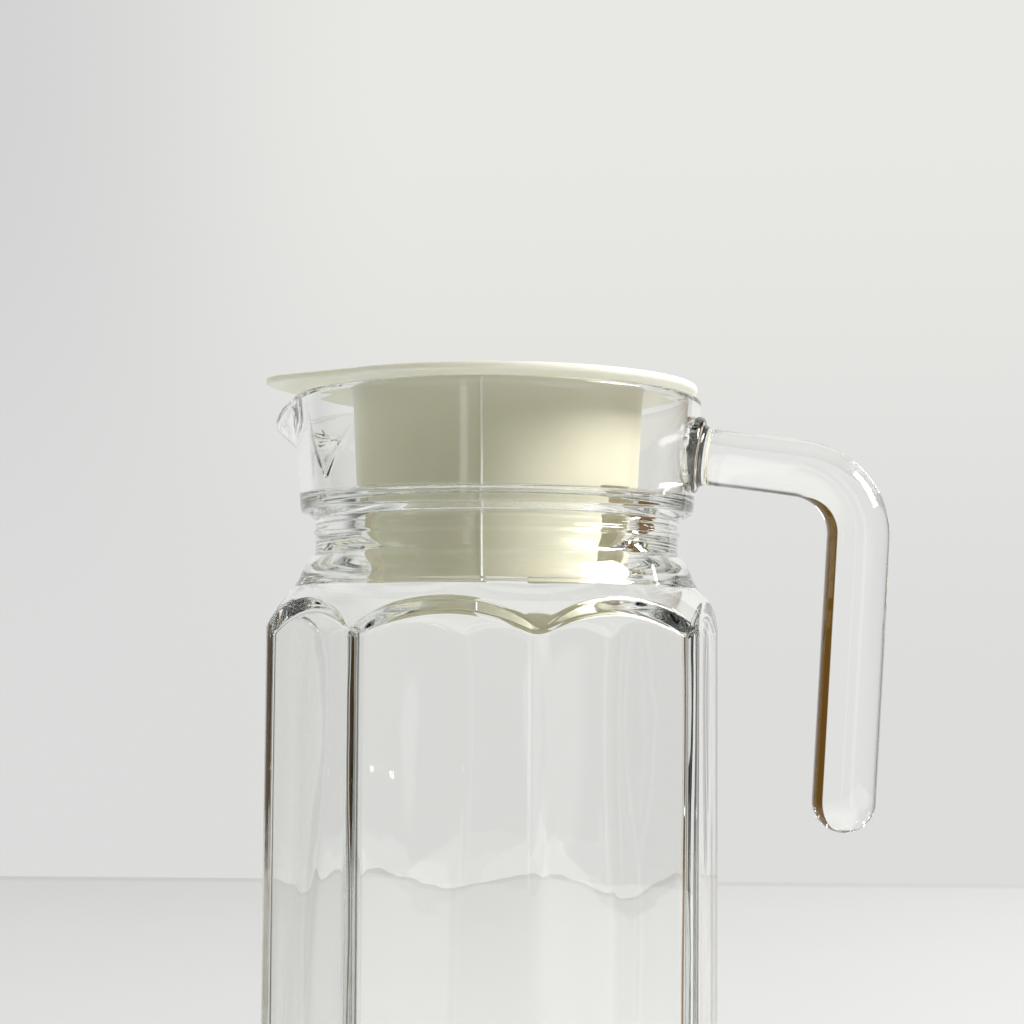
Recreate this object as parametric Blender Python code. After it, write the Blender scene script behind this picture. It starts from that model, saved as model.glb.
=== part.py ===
"""Glass water jug with a solid glass handle and a two-piece plastic lid.

An octagonal pressed-glass body closes in a domed shoulder, a thick neck and a
round collar with a V-shaped pouring lip. A glass rod is fused to the collar as
an open hook handle. A plug with three slots sits in the neck, and a flat cap
with a thumb tongue turns on top of the plug.

Frame: origin at the centre of the base on the resting plane, +Z up, +X from
the jug's axis towards the handle, the pouring lip towards -X. Metres.
"""

from math import acos, atan2, cos, hypot, pi, radians, sin

import bmesh
import bpy

MM = 0.001
GAP = 0.3 * MM                      # clearance between neighbouring pieces
TURN_STEPS = 80                     # facets around the turned glass and the lid

# Glass body: octagon with flats towards the handle and the lip
RIM_Z = 212 * MM
ACROSS_FLATS = 98 * MM
CORNER_R = 5.5 * MM                 # rounding of the eight upright edges
HEEL_R = 6 * MM                     # rounding between the base and the sides
WALL = 4 * MM
FLOOR = 8 * MM
INNER_CORNER_R = 3.5 * MM
INNER_HEEL_R = 9 * MM

# Shoulder: a dome whose outline is an arc in the (radius, z) plane
DOME_CENTRE_R = 27.1 * MM
DOME_CENTRE_Z = 148.1 * MM
DOME_ARC_R = 28 * MM
DOME_END_DEG = 46.1                 # where the dome meets the bulge under the neck
BULGE = ((46.0, 169.1), (45.2, 170.5), (44.1, 173.0), (42.6, 175.1))   # radius and height, mm

# Inside, a funnel leads from the side walls up to the neck's bore
FUNNEL_R = 45.0 * MM                # a point of the funnel, and its rise per unit of radius
FUNNEL_Z = 162.4 * MM
FUNNEL_RISE = 1.27
FUNNEL_WIDE_R = 51.1 * MM           # wider than the inside corners, which cut it into arches
FUNNEL_SOFTNESS = 2.5 * MM          # rounding between funnel and bore

# Neck and collar
NECK_R = 41.6 * MM
NECK_BORE_R = 32.7 * MM
BORE_EDGE_R = 0.8 * MM              # rounding of the bore's upper edge
NECK_BOTTOM_Z = 175.9 * MM
NECK_RING_Z = 180.9 * MM            # a low raised ring round the neck
NECK_RING_HEIGHT = 0.5 * MM
NECK_RING_HALF = 1.2 * MM           # half the ring's width along the neck
COLLAR_BOTTOM_Z = 184.9 * MM
COLLAR_UNDERCUT = 1.8 * MM          # fall of the sloping face under the collar
COLLAR_BOTTOM_R = 45.1 * MM
COLLAR_TOP_R = 47.0 * MM
COLLAR_WALL = 3.0 * MM
LEDGE_Z = 188.6 * MM                # step inside the collar above the neck bore
LEDGE_FILLET = 1.2 * MM
RIM_ROUND = 1.3 * MM

# Pouring lip, pressed outwards from the collar towards -X
LIP_TIP_R = 52.5 * MM
LIP_START_Z = 197 * MM              # where the outside starts to leave the collar
LIP_CHANNEL_Z = 194 * MM            # where the channel starts inside
LIP_HALF_ANGLE = radians(24)
LIP_DROP = 4.4 * MM                 # how far the rim dips at the tip

# Handle: one solid rod, a button on the collar, an arm, a bend and a drop
ARM_X = 44 * MM
ARM_Z = 199.0 * MM
ARM_SLOPE = radians(7.9)
ARM_LENGTH = 25.6 * MM
ARM_R = 6.4 * MM
BUTTON_R = 8.8 * MM
BUTTON_END = 4.4 * MM               # along the arm, where the button starts to narrow
BUTTON_FILLET = 3.0 * MM
BEND_R = 15 * MM
DROP_LEAN = radians(3.4)
DROP_LENGTH = 58.1 * MM
DROP_R = 7.0 * MM

# Lid plug: a tapered tube that steps in at the ledge, slotted below it into three spring tabs
PLUG_TOP_Z = 213.0 * MM
PLUG_TOP_R = 33.4 * MM
PLUG_STEP_Z = 189.6 * MM
PLUG_STEP_R = 32.3 * MM
PLUG_LOWER_R = 30.5 * MM
PLUG_BOTTOM_Z = 170.5 * MM
PLUG_WALL = 1.6 * MM
PLUG_SHOULDER = 3.0 * MM            # height of the solid ring at the step
PLUG_LIP_R = 29.9 * MM              # hole in the top that the cap's spigot clips into
SLOT_COUNT = 3
SLOT_ANGLE = radians(21)
SLOT_TOP_Z = 190.0 * MM
SLOT_TURN = radians(97.2)           # direction of the first slot

# Lid cap: a thin disc with a tongue, and a spigot with a retaining bead
CAP_BOTTOM_Z = 213.3 * MM
CAP_THICKNESS = 1.7 * MM
CAP_R = 46.0 * MM
CAP_EDGE_ROUND = 0.5 * MM
CAP_OVERLAP = 0.8 * MM              # how far the spigot reaches up into the disc
TONGUE_TIP_R = 10.9 * MM
TONGUE_REACH = 54.0 * MM
TONGUE_TURN = radians(209.5)        # the tongue stands 29.5 degrees past the lip
SPIGOT_R = 29.5 * MM
SPIGOT_WALL = 2.0 * MM
SPIGOT_DEPTH = 5.0 * MM
BEAD_HEIGHT = 0.8 * MM

FLATS = 8
SHARP_ANGLE = radians(30)


# ---------------------------------------------------------------- scene tools

def clear_scene():
    for obj in list(bpy.data.objects):
        bpy.data.objects.remove(obj, do_unlink=True)


def new_collection(name):
    collection = bpy.data.collections.new(name)
    bpy.context.scene.collection.children.link(collection)
    return collection


def new_object(name, mesh, collection):
    obj = bpy.data.objects.new(name, mesh)
    collection.objects.link(obj)
    return obj


def new_cutter(name, mesh, collection):
    cutter = new_object(name, mesh, collection)
    cutter.hide_render = True
    cutter.display_type = "WIRE"
    return cutter


def boolean(obj, cutter, operation):
    modifier = obj.modifiers.new(operation.lower() + "_" + cutter.name, "BOOLEAN")
    modifier.operation = operation
    modifier.solver = "EXACT"
    modifier.object = cutter


def shade(obj, material):
    obj.data.materials.clear()
    obj.data.materials.append(material)
    obj.data.shade_smooth()
    obj.data.set_sharp_from_angle(angle=SHARP_ANGLE)


def new_material(name, colour, roughness, transmission=0.0):
    material = bpy.data.materials.new(name)
    material.use_nodes = True
    shader = material.node_tree.nodes["Principled BSDF"]
    shader.inputs["Base Color"].default_value = (*colour, 1.0)
    shader.inputs["Roughness"].default_value = roughness
    shader.inputs["Metallic"].default_value = 0.0
    shader.inputs["Transmission Weight"].default_value = transmission
    return material


# ---------------------------------------------------------------- shape tools

def loft(name, rings, closed=False):
    """Skin equal-length rings of points; closed joins the last ring to the first."""
    bm = bmesh.new()
    loops = [[bm.verts.new(point) for point in ring] for ring in rings]
    pairs = list(zip(loops, loops[1:]))
    if closed:
        pairs.append((loops[-1], loops[0]))
    else:
        bm.faces.new(loops[0])
        bm.faces.new(loops[-1])
    for lower, upper in pairs:
        for i in range(len(lower)):
            j = (i + 1) % len(lower)
            bm.faces.new((lower[i], lower[j], upper[j], upper[i]))
    bmesh.ops.recalc_face_normals(bm, faces=bm.faces)
    mesh = bpy.data.meshes.new(name)
    bm.to_mesh(mesh)
    bm.free()
    return mesh


def turned(name, profile, steps=TURN_STEPS, closed=False):
    """Turn (radius, z) points about Z."""
    rings = []
    for radius, z in profile:
        ring = [(radius * cos(2 * pi * i / steps), radius * sin(2 * pi * i / steps), z)
                for i in range(steps)]
        rings.append(ring)
    return loft(name, rings, closed)


def arc(centre_r, centre_z, radius, start_deg, end_deg, steps):
    """Points of an arc in the (radius, z) plane."""
    points = []
    for i in range(steps + 1):
        angle = radians(start_deg + (end_deg - start_deg) * i / steps)
        points.append((centre_r + radius * cos(angle), centre_z + radius * sin(angle)))
    return points


def rounded_octagon(inradius, corner_r, z, steps=4):
    """Octagon outline with flats on the X and Y axes and rounded corners."""
    points = []
    reach = (inradius - corner_r) / cos(pi / FLATS)
    for corner in range(FLATS):
        middle = pi / FLATS + corner * 2 * pi / FLATS
        for i in range(steps + 1):
            angle = middle + (2 * pi / FLATS) * (i / steps - 0.5)
            points.append((reach * cos(middle) + corner_r * cos(angle),
                           reach * sin(middle) + corner_r * sin(angle), z))
    return points


# ---------------------------------------------------------------- glass body

def outer_profile():
    """Outside of the glass, base to rim, wider than the octagon up to the shoulder."""
    profile = [(DOME_CENTRE_R + DOME_ARC_R, 0)]
    # the flats cut this dome into arches
    profile += arc(DOME_CENTRE_R, DOME_CENTRE_Z, DOME_ARC_R, 0, DOME_END_DEG, 9)
    profile += [(r * MM, z * MM) for r, z in BULGE]
    profile += [(NECK_R, NECK_BOTTOM_Z + 0.8 * MM)]
    profile += [(NECK_R, NECK_RING_Z - NECK_RING_HALF),
                (NECK_R + NECK_RING_HEIGHT, NECK_RING_Z),
                (NECK_R, NECK_RING_Z + NECK_RING_HALF)]
    profile += [(NECK_R, COLLAR_BOTTOM_Z - COLLAR_UNDERCUT),
                (NECK_R + 0.8 * MM, COLLAR_BOTTOM_Z - COLLAR_UNDERCUT / 2)]
    profile += arc(COLLAR_BOTTOM_R - 1.0 * MM, COLLAR_BOTTOM_Z + 1.0 * MM, 1.0 * MM, -70, 0, 3)
    for i in range(1, 5):
        profile.append(collar_point(LIP_START_Z + (RIM_Z - RIM_ROUND - LIP_START_Z) * i / 4))
    profile += arc(COLLAR_TOP_R - RIM_ROUND, RIM_Z - RIM_ROUND, RIM_ROUND, 30, 90, 2)
    return profile


def collar_point(z, inset=0.0):
    """Point of the collar's slightly flared wall at height z."""
    share = (z - COLLAR_BOTTOM_Z) / (RIM_Z - COLLAR_BOTTOM_Z)
    return (COLLAR_BOTTOM_R + (COLLAR_TOP_R - COLLAR_BOTTOM_R) * share - inset, z)


def funnel_point(z):
    """Point of the inside funnel at height z."""
    return (FUNNEL_R + (FUNNEL_Z - z) / FUNNEL_RISE, z)


def inner_profile():
    """Inside of the glass, floor to above the rim."""
    wide_z = FUNNEL_Z - (FUNNEL_WIDE_R - FUNNEL_R) * FUNNEL_RISE
    bore_z = FUNNEL_Z + (FUNNEL_R - NECK_BORE_R) * FUNNEL_RISE
    profile = [(FUNNEL_WIDE_R, FLOOR), (FUNNEL_WIDE_R, wide_z)]
    # funnel, soft corner, bore
    profile.append(funnel_point(bore_z - FUNNEL_SOFTNESS))
    profile.append((NECK_BORE_R + 0.25 * FUNNEL_SOFTNESS / FUNNEL_RISE, bore_z))
    profile.append((NECK_BORE_R, bore_z + FUNNEL_SOFTNESS))
    profile += arc(NECK_BORE_R + BORE_EDGE_R, LEDGE_Z - BORE_EDGE_R, BORE_EDGE_R, 180, 90, 3)
    ledge_r = collar_point(LEDGE_Z, COLLAR_WALL)[0]
    profile += arc(ledge_r - LEDGE_FILLET, LEDGE_Z + LEDGE_FILLET, LEDGE_FILLET, -90, 0, 3)
    for i in range(0, 5):
        z = LIP_CHANNEL_Z + (RIM_Z - RIM_ROUND - LIP_CHANNEL_Z) * i / 4
        profile.append(collar_point(z, COLLAR_WALL))
    profile.append((COLLAR_TOP_R - COLLAR_WALL + RIM_ROUND, RIM_Z + 0.02 * MM))
    profile.append((COLLAR_TOP_R - COLLAR_WALL + RIM_ROUND, RIM_Z + 10 * MM))
    return profile


def press_lip(mesh, start_z, reach):
    """Press the V-shaped pouring lip out of a turned mesh, towards -X."""
    top = RIM_Z - LIP_DROP
    for vertex in mesh.vertices:
        x, y, z = vertex.co
        off_axis = abs(atan2(y, -x)) / LIP_HALF_ANGLE
        if off_axis >= 1 or z <= start_z:
            continue
        peak = (1 - off_axis) ** 1.4
        rise = min(1, (z - start_z) / (top - start_z))
        radius = hypot(x, y)
        pushed = radius + (reach - radius) * peak * rise ** 1.5
        vertex.co.x = x * pushed / radius
        vertex.co.y = y * pushed / radius
        vertex.co.z = z - LIP_DROP * peak * max(0, min(1, (z - start_z) / (RIM_Z - start_z)))


def facet_cutter_rings(inradius, corner_r, heel_r, bottom_z, top_z):
    """Rings of a block with an octagonal hole, whose hole closes in at the heel."""
    inner = [rounded_octagon(inradius - heel_r, max(corner_r - heel_r, 1 * MM), bottom_z - 5 * MM)]
    for i in range(5):
        angle = radians(90 * i / 4)
        inset = heel_r * (1 - sin(angle))
        inner.append(rounded_octagon(inradius - inset, max(corner_r - inset, 1 * MM),
                                     bottom_z + heel_r * (1 - cos(angle))))
    inner.append(rounded_octagon(inradius, corner_r, top_z))
    outer_r = inradius * 1.6
    outer = [rounded_octagon(outer_r, corner_r, top_z),
             rounded_octagon(outer_r, corner_r, bottom_z - 5 * MM)]
    return inner + outer


def build_glass_body(parts, cutters, glass):
    outer = turned("glass_body", outer_profile())
    press_lip(outer, LIP_START_Z, LIP_TIP_R)
    body = new_object("glass_body", outer, parts)
    facets = new_cutter("outer_facets", loft("outer_facets", facet_cutter_rings(
        ACROSS_FLATS / 2, CORNER_R, HEEL_R, 0, NECK_BOTTOM_Z), closed=True), cutters)
    boolean(body, facets, "DIFFERENCE")

    inner = turned("cavity", inner_profile())
    press_lip(inner, LIP_CHANNEL_Z, LIP_TIP_R - COLLAR_WALL * 0.8)
    cavity = new_cutter("cavity", inner, cutters)
    inner_facets = new_cutter("inner_facets", loft("inner_facets", facet_cutter_rings(
        ACROSS_FLATS / 2 - WALL, INNER_CORNER_R, INNER_HEEL_R, FLOOR, DOME_CENTRE_Z + DOME_ARC_R),
        closed=True), cutters)
    boolean(cavity, inner_facets, "DIFFERENCE")
    boolean(body, cavity, "DIFFERENCE")
    shade(body, glass)


# ---------------------------------------------------------------- handle

def handle_path():
    """Centreline of the rod as (x, z, radius), collar to free end."""
    path = []
    direction = (cos(ARM_SLOPE), -sin(ARM_SLOPE))

    def arm_point(along, radius):
        path.append((ARM_X + along * direction[0], ARM_Z + along * direction[1], radius))

    arm_point(0, BUTTON_R)
    arm_point(BUTTON_END, BUTTON_R)
    for i in range(1, 6):
        share = i / 5
        arm_point(BUTTON_END + BUTTON_FILLET * share,
                  ARM_R + (BUTTON_R - ARM_R) * (1 - sin(share * pi / 2)))
    arm_point(ARM_LENGTH, ARM_R)

    start_x = ARM_X + ARM_LENGTH * direction[0]
    start_z = ARM_Z + ARM_LENGTH * direction[1]
    centre_x = start_x - BEND_R * sin(ARM_SLOPE)
    centre_z = start_z - BEND_R * cos(ARM_SLOPE)
    first = pi / 2 - ARM_SLOPE
    last = -DROP_LEAN
    bend_steps = 10
    for i in range(1, bend_steps + 1):
        angle = first + (last - first) * i / bend_steps
        radius = ARM_R + (DROP_R - ARM_R) * i / bend_steps
        path.append((centre_x + BEND_R * cos(angle), centre_z + BEND_R * sin(angle), radius))

    bend_end_x, bend_end_z, _ = path[-1]
    down = (-sin(DROP_LEAN), -cos(DROP_LEAN))
    path.append((bend_end_x + DROP_LENGTH * down[0], bend_end_z + DROP_LENGTH * down[1], DROP_R))
    for i in range(1, 7):
        angle = radians(82 * i / 6)
        along = DROP_LENGTH + DROP_R * sin(angle)
        path.append((bend_end_x + along * down[0], bend_end_z + along * down[1],
                     DROP_R * cos(angle)))
    return path


def build_handle(parts, cutters, glass):
    curve = bpy.data.curves.new("handle_rod", "CURVE")
    curve.dimensions = "3D"
    curve.bevel_depth = 1.0
    curve.bevel_resolution = 10
    curve.use_fill_caps = True
    spline = curve.splines.new("POLY")
    path = handle_path()
    spline.points.add(len(path) - 1)
    for point, (x, z, radius) in zip(spline.points, path):
        point.co = (x, 0, z, 1)
        point.radius = radius
    rod = new_object("handle_rod", curve, parts)

    depsgraph = bpy.context.evaluated_depsgraph_get()
    mesh = bpy.data.meshes.new_from_object(rod.evaluated_get(depsgraph))
    bm = bmesh.new()
    bm.from_mesh(mesh)
    bmesh.ops.remove_doubles(bm, verts=bm.verts, dist=0.00001)
    bmesh.ops.recalc_face_normals(bm, faces=bm.faces)
    bm.to_mesh(mesh)
    bm.free()
    handle = new_object("handle", mesh, parts)
    handle.matrix_world = rod.matrix_world.copy()
    bpy.data.objects.remove(rod, do_unlink=True)

    # the collar's own flare, one gap wider, trims the rod's root
    trim = [(r + GAP, z) for r, z in (collar_point(COLLAR_BOTTOM_Z), collar_point(RIM_Z))]
    collar = new_cutter("collar_trim", turned("collar_trim", trim), cutters)
    boolean(handle, collar, "DIFFERENCE")
    shade(handle, glass)


# ---------------------------------------------------------------- lid plug

def plug_profile():
    """Closed outline of the tube's wall, outside first, then up the inside."""
    inner_top_r = PLUG_TOP_R - PLUG_WALL
    inner_step_r = PLUG_STEP_R - PLUG_WALL
    inner_lower_r = PLUG_LOWER_R - PLUG_WALL
    lip_z = PLUG_TOP_Z - PLUG_WALL
    chamfer = 0.6 * MM
    step_fall = 1 * MM
    shoulder_z = PLUG_STEP_Z - step_fall + PLUG_SHOULDER
    return [(PLUG_TOP_R, PLUG_TOP_Z), (PLUG_STEP_R, PLUG_STEP_Z),
            (PLUG_LOWER_R, PLUG_STEP_Z - step_fall), (PLUG_LOWER_R, PLUG_BOTTOM_Z + chamfer),
            (PLUG_LOWER_R - chamfer, PLUG_BOTTOM_Z), (inner_lower_r, PLUG_BOTTOM_Z),
            (inner_lower_r, shoulder_z), (inner_step_r, shoulder_z + step_fall),
            (inner_top_r, lip_z), (PLUG_LIP_R, lip_z), (PLUG_LIP_R, PLUG_TOP_Z)]


def slot_rings():
    """Wedge through one side of the tube wall, from the slot's top to below the tube."""
    outer = PLUG_TOP_R + 5 * MM
    inner = PLUG_LOWER_R - PLUG_WALL - 4 * MM
    half = SLOT_ANGLE / 2
    outline = []
    for radius, turn in ((inner, -half), (outer, -half), (outer, half), (inner, half)):
        outline.append((radius * cos(turn), radius * sin(turn)))
    return [[(x, y, z) for x, y in outline] for z in (PLUG_BOTTOM_Z - 5 * MM, SLOT_TOP_Z)]


def build_lid_plug(parts, cutters, plastic):
    plug = new_object("lid_plug", turned("lid_plug", plug_profile(), closed=True), parts)
    for i in range(SLOT_COUNT):
        slot = new_cutter(f"slot_{i + 1}", loft(f"slot_{i + 1}", slot_rings()), cutters)
        slot.rotation_euler.z = SLOT_TURN + 2 * pi * i / SLOT_COUNT
        boolean(plug, slot, "DIFFERENCE")
    shade(plug, plastic)
    return plug


# ---------------------------------------------------------------- lid cap

def cap_outline(inset=0.0):
    """Disc joined to the tongue's round tip by straight tangents, tongue on +X."""
    radius = CAP_R - inset
    tip_r = TONGUE_TIP_R - inset
    tip_x = TONGUE_REACH - TONGUE_TIP_R
    tangent = acos((radius - tip_r) / tip_x)
    points = []
    steps = 6
    for i in range(steps + 1):
        angle = -tangent + 2 * tangent * i / steps
        points.append((tip_x + tip_r * cos(angle), tip_r * sin(angle)))
    steps = TURN_STEPS
    for i in range(steps + 1):
        angle = tangent + (2 * pi - 2 * tangent) * i / steps
        points.append((radius * cos(angle), radius * sin(angle)))
    return points


def build_lid_cap(parts, cutters, plastic):
    top_z = CAP_BOTTOM_Z + CAP_THICKNESS
    sections = [(CAP_EDGE_ROUND, CAP_BOTTOM_Z), (0, CAP_BOTTOM_Z + CAP_EDGE_ROUND),
                (0, top_z - CAP_EDGE_ROUND), (CAP_EDGE_ROUND, top_z)]
    rings = [[(x, y, z) for x, y in cap_outline(inset)] for inset, z in sections]
    cap = new_object("lid_cap", loft("lid_cap", rings), parts)
    cap.rotation_euler.z = TONGUE_TURN

    bottom = CAP_BOTTOM_Z - SPIGOT_DEPTH
    inner_r = SPIGOT_R - SPIGOT_WALL
    spigot_top = CAP_BOTTOM_Z + CAP_OVERLAP
    spigot_profile = [(SPIGOT_R, spigot_top), (SPIGOT_R, bottom + 2 * BEAD_HEIGHT),
                      (SPIGOT_R + BEAD_HEIGHT, bottom + BEAD_HEIGHT), (SPIGOT_R, bottom),
                      (inner_r, bottom), (inner_r, spigot_top)]
    spigot = new_cutter("spigot", turned("spigot", spigot_profile, closed=True), cutters)
    boolean(cap, spigot, "UNION")
    shade(cap, plastic)
    return cap


# ---------------------------------------------------------------- assembly

def main():
    clear_scene()
    parts = new_collection("water_jug")
    cutters = new_collection("cutters")
    glass = new_material("clear_glass", (0.93, 0.97, 0.96), 0.03, transmission=1.0)
    plastic = new_material("off_white_plastic", (0.86, 0.85, 0.78), 0.35)
    build_glass_body(parts, cutters, glass)
    build_handle(parts, cutters, glass)
    build_lid_plug(parts, cutters, plastic)
    build_lid_cap(parts, cutters, plastic)


main()
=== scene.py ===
"""Looks of the glass water jug: one seamless glass surface, the plastic lid, stage, light and camera.

The jug's glass is built from upright columns of points round its axis. Each column climbs its flat
or corner and meets the dome of the shoulder at a height of its own, so that the flats end in eight
arches. It goes on over neck, collar and rim, and down the inside to the middle of the floor. The
handle is a swept rod, joined to the collar as hot glass is.
"""

from math import acos, atan2, cos, exp, hypot, pi, radians, sin, sqrt

import bmesh
import bpy
from mathutils import Euler, Matrix, Vector


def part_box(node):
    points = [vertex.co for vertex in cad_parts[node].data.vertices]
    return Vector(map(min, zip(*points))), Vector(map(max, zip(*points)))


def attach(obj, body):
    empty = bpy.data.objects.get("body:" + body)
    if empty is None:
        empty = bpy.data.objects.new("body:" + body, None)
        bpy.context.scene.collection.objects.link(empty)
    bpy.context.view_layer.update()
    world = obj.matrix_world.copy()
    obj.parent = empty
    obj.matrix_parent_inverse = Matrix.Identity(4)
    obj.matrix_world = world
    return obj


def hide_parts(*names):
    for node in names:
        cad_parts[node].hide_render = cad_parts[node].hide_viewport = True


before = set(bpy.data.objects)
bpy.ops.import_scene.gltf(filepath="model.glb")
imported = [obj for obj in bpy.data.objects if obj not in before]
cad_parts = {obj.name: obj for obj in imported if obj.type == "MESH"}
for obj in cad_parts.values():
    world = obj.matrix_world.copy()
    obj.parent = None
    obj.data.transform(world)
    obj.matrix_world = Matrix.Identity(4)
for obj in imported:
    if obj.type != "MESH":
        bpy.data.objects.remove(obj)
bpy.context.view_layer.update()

MM = 0.001

# ---------------------------------------------------------------- places taken from the frame
glass_low, glass_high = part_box("glass_body")
handle_low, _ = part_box("handle")
plug_low, plug_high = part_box("lid_plug")
cap_low, cap_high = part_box("lid_cap")

RIM_Z = glass_high.z
FLAT_R = glass_high.y                     # half the distance across the flats
LIP_TIP_R = -glass_low.x

# ---------------------------------------------------------------- sizes of the glass

# octagonal body
FLATS = 8
WALL = 4.0 * MM
FLOOR = 8.0 * MM
CORNER_R = 5.5 * MM
INNER_CORNER_R = 3.5 * MM
LEAST_CORNER_R = 1.0 * MM
HEEL_R = 6.0 * MM
INNER_HEEL_R = 9.0 * MM
SIDE_TOP_Z = RIM_Z - 60.0 * MM            # the rows above this follow the arches

# dome outside, funnel inside
DOME_CENTRE_R = 27.1 * MM
DOME_CENTRE_Z = RIM_Z - 63.9 * MM
DOME_ARC_R = 28.0 * MM
DOME_TOP_Z = RIM_Z - 43.3 * MM
FUNNEL_R = 45.0 * MM                      # one point of the funnel under the neck
FUNNEL_Z = RIM_Z - 49.6 * MM
FUNNEL_RISE = 1.27
FUNNEL_TOP_SOFTNESS = 3.0 * MM
ARCH_SOFTNESS = 0.7 * MM
FUNNEL_SOFTNESS = 0.8 * MM

# bulge and neck; BULGE holds radius and depth below the rim in mm, dome to neck
BULGE = ((46.0, 42.9), (45.6, 42.3), (45.2, 41.5), (44.7, 40.3), (44.1, 39.0),
         (43.4, 37.8), (42.6, 36.9), (42.0, 36.3), (41.7, 35.7))
NECK_R = 41.6 * MM
NECK_BOTTOM_Z = RIM_Z - 35.0 * MM
NECK_BORE_R = 32.7 * MM
NECK_RING_Z = RIM_Z - 31.3 * MM
NECK_RING_HALF = 1.1 * MM
NECK_RING_RISE = 0.45 * MM

# collar; COLLAR_FILLET holds mm out from the neck and mm below the collar
COLLAR_BOTTOM_Z = RIM_Z - 27.1 * MM
COLLAR_BOTTOM_R = 45.1 * MM
COLLAR_TOP_R = 47.0 * MM
COLLAR_WALL = 3.0 * MM
COLLAR_FILLET = ((0.0, 2.3), (0.1, 1.5), (0.5, 1.0), (1.2, 0.6))
LEDGE_Z = RIM_Z - 23.4 * MM
LEDGE_FILLET = 0.9 * MM
BORE_EDGE_R = 0.5 * MM
RIM_ROUND = 1.4 * MM

# pouring lip
LIP_HALF_ANGLE = radians(22)
LIP_REACH = 1.4                           # nothing moves beyond this many half angles
LIP_CREST = 0.07                          # roundness of the V's point, in half angles
LIP_DROP = 4.4 * MM
LIP_DROP_POWER = 1.15
LIP_BLEND = 0.16
LIP_CREASE = 0.55 * MM                    # groove along the channel's two lower edges
LIP_CREASE_WIDTH = 0.055
LIP_CREASE_FADE = 2.2
LIP_PUSH = LIP_TIP_R - COLLAR_TOP_R
# outside and channel: where the V starts and is full, its depth, the power of its sides, its crease
OUTER_LIP = (RIM_Z - 12.6 * MM, RIM_Z - 6.4 * MM, LIP_PUSH + 0.9 * MM, 1.0, 0.0)
INNER_LIP = (RIM_Z - 17.2 * MM, RIM_Z - 2.0 * MM, LIP_PUSH + 2.4 * MM, 1.7, LIP_CREASE)

# slow waves of the inside wall: height in mm, waves around, radians per metre of height, phase
RIPPLES = ((0.075, 5, 0, 0.9), (0.055, 11, 9, 2.1), (0.035, 19, -14, 0.4),
           (0.05, 2, 62, 0.5), (0.035, 3, -118, 1.9))
RIPPLE_BOTTOM_FADE = 20.0 * MM
RIPPLE_TOP_FADE = 14.0 * MM

# the side walls grow thicker and thinner about WEDGE_Z, most of all in the first columns after WEDGE_TURN
WEDGE_Z = RIM_Z - 104.0 * MM
WEDGE_HALF = 75.0 * MM
WEDGE_SLOPE = 0.030
WEDGE_TURN = radians(-53)
WEDGE_WAVES = 7
WEDGE_SPREAD = 0.45
WEDGE_BACKGROUND = 0.25

# mesh columns and rows
GLASS_SHARP_DEG = 38                      # edges sharper than this are shaded as edges
COLUMNS_PER_FLAT = 36
CORNER_BUNCHING = 0.55
LIP_FLAT = 4                              # the flat that faces -X
LIP_COLUMNS = 90
LIP_BUNCHING = 0.10
BASE_RINGS = (0.01, 0.15, 0.35, 0.55, 0.75, 0.9)
HEEL_STEPS = 7
OUTER_SIDE_ROWS = 8
INNER_SIDE_ROWS = 26
ARCH_ROWS = 6
SHOULDER_ROWS = 14


# ---------------------------------------------------------------- small tools

def clamp(value, low=0.0, high=1.0):
    return max(low, min(high, value))


def smooth_min(a, b, softness):
    """The smaller of two values, with a round change from one to the other."""
    overlap = max(softness - abs(a - b), 0.0) / softness
    return min(a, b) - overlap * overlap * softness / 4


def arc(centre_r, centre_z, radius, start_deg, end_deg, steps):
    """Points of an arc in (r, z), both ends included."""
    points = []
    for i in range(steps + 1):
        angle = radians(start_deg + (end_deg - start_deg) * i / steps)
        points.append((centre_r + radius * cos(angle), centre_z + radius * sin(angle)))
    return points


def line(start, end, steps):
    """Points from start towards end, without start itself."""
    return [(start[0] + (end[0] - start[0]) * i / steps,
             start[1] + (end[1] - start[1]) * i / steps) for i in range(1, steps + 1)]


def loft_mesh(name, rings):
    """Closed skin over equal-length rings, capped at both ends."""
    bm = bmesh.new()
    loops = [[bm.verts.new(point) for point in ring] for ring in rings]
    bm.faces.new(loops[0])
    bm.faces.new(loops[-1])
    for lower, upper in zip(loops, loops[1:]):
        for i in range(len(lower)):
            j = (i + 1) % len(lower)
            bm.faces.new((lower[i], lower[j], upper[j], upper[i]))
    bmesh.ops.recalc_face_normals(bm, faces=bm.faces)
    mesh = bpy.data.meshes.new(name)
    bm.to_mesh(mesh)
    bm.free()
    return mesh


def add_object(name, mesh):
    obj = bpy.data.objects.new(name, mesh)
    bpy.context.scene.collection.objects.link(obj)
    return obj


def apply_modifiers(obj):
    """Bake the modifiers into the mesh."""
    depsgraph = bpy.context.evaluated_depsgraph_get()
    mesh = bpy.data.meshes.new_from_object(obj.evaluated_get(depsgraph))
    obj.modifiers.clear()
    obj.data = mesh


def smooth(obj, sharp_deg):
    """Smooth shading, apart from edges sharper than an angle."""
    obj.data.shade_smooth()
    obj.data.set_sharp_from_angle(angle=radians(sharp_deg))


def finish_piece(obj, material, body, slot, *nodes):
    """Give a piece its material, its body and the CAD nodes it stands for; slot is not used."""
    obj.data.materials.clear()
    obj.data.materials.append(material)
    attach(obj, body)
    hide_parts(*nodes)


# ---------------------------------------------------------------- glass: outline rules

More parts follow.
